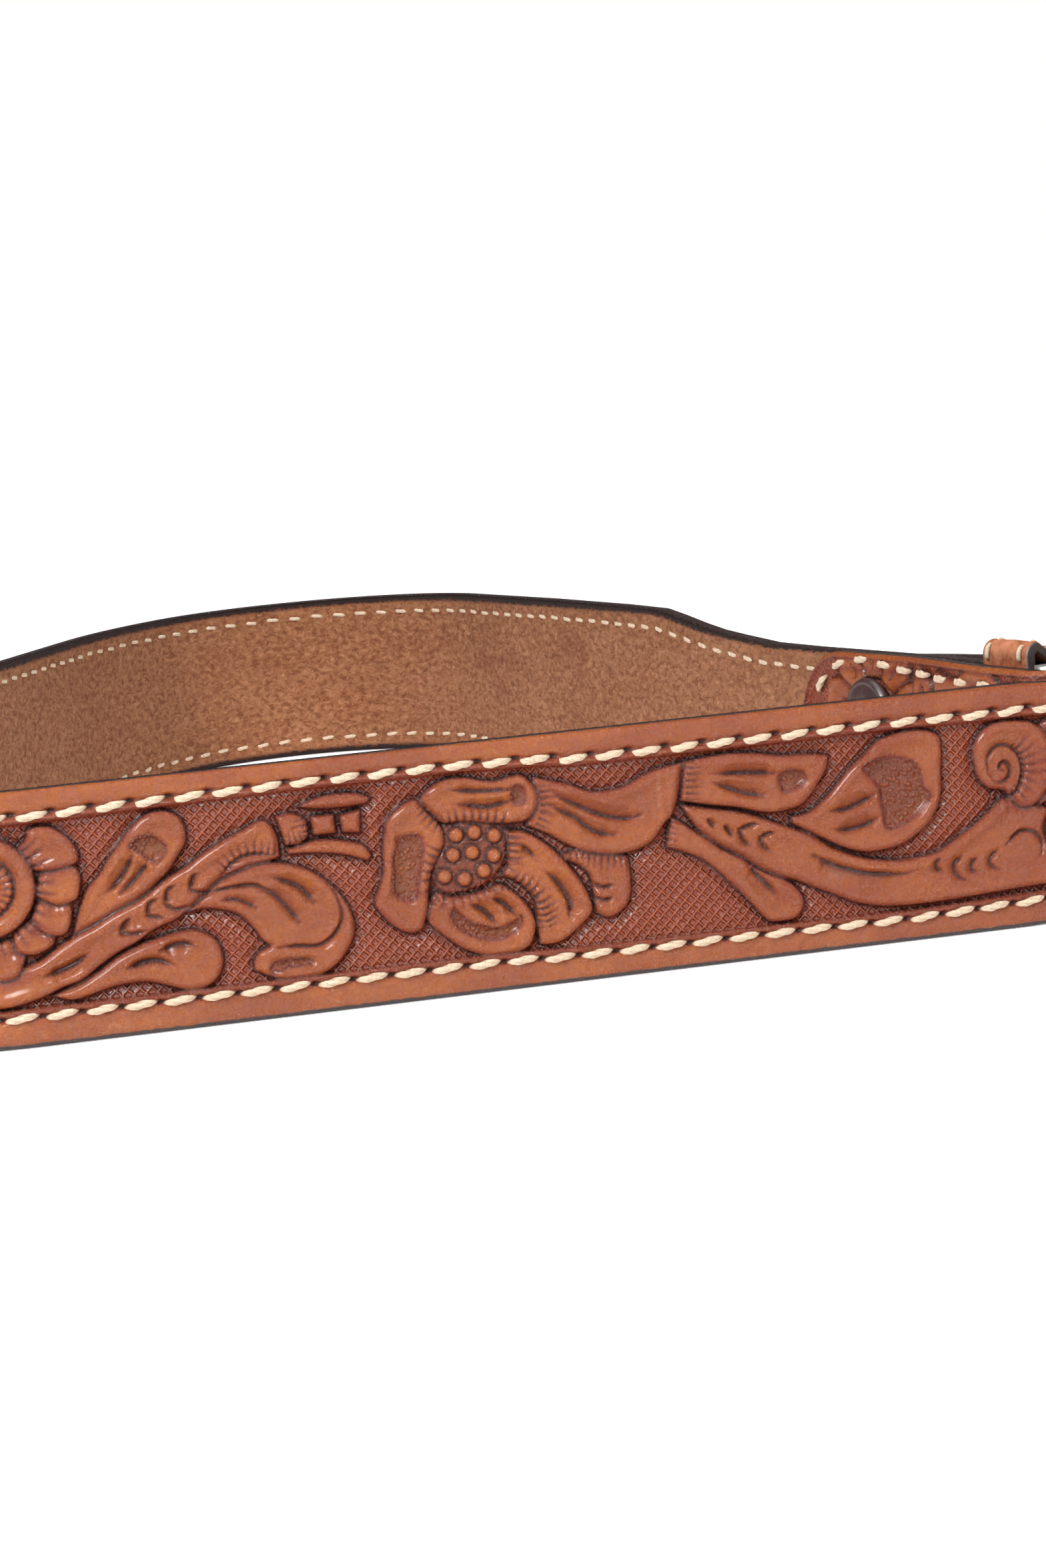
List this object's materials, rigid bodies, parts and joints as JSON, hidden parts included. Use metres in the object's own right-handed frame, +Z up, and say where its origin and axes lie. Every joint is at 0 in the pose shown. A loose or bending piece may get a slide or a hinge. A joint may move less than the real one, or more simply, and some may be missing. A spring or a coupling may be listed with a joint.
{
  "type": "western tooled belt",
  "caption": "Tooled leather belt with a suede lining, buckled into a loop: contoured strap with folded tab, snap, keeper and plain frame buckle.",
  "frame": {"origin": "middle of the loop's bounding box, on the surface the belt stands on", "axes": "+Z up along the strap's width, +X to the right along the tooled front stretch, +Y away from the viewer, towards the lined back stretch"},
  "size_m": [0.2592, 0.3076, 0.038],
  "materials": {
    "tooled_leather": "antiqued, burnished, hand tooled",
    "lining_suede": "matte napped flesh side",
    "keeper_leather": "plain satin",
    "thread": "waxed twisted thread",
    "buckle_metal": "satin",
    "snap_metal": "dark enamel"
  },
  "bodies": {
    "root": {"strap": "tooled_leather", "lining": "lining_suede", "keeper": "keeper_leather", "buckle": "buckle_metal", "snap_cap": "snap_metal", "snap_post": "buckle_metal"}
  },
  "joints": []
}
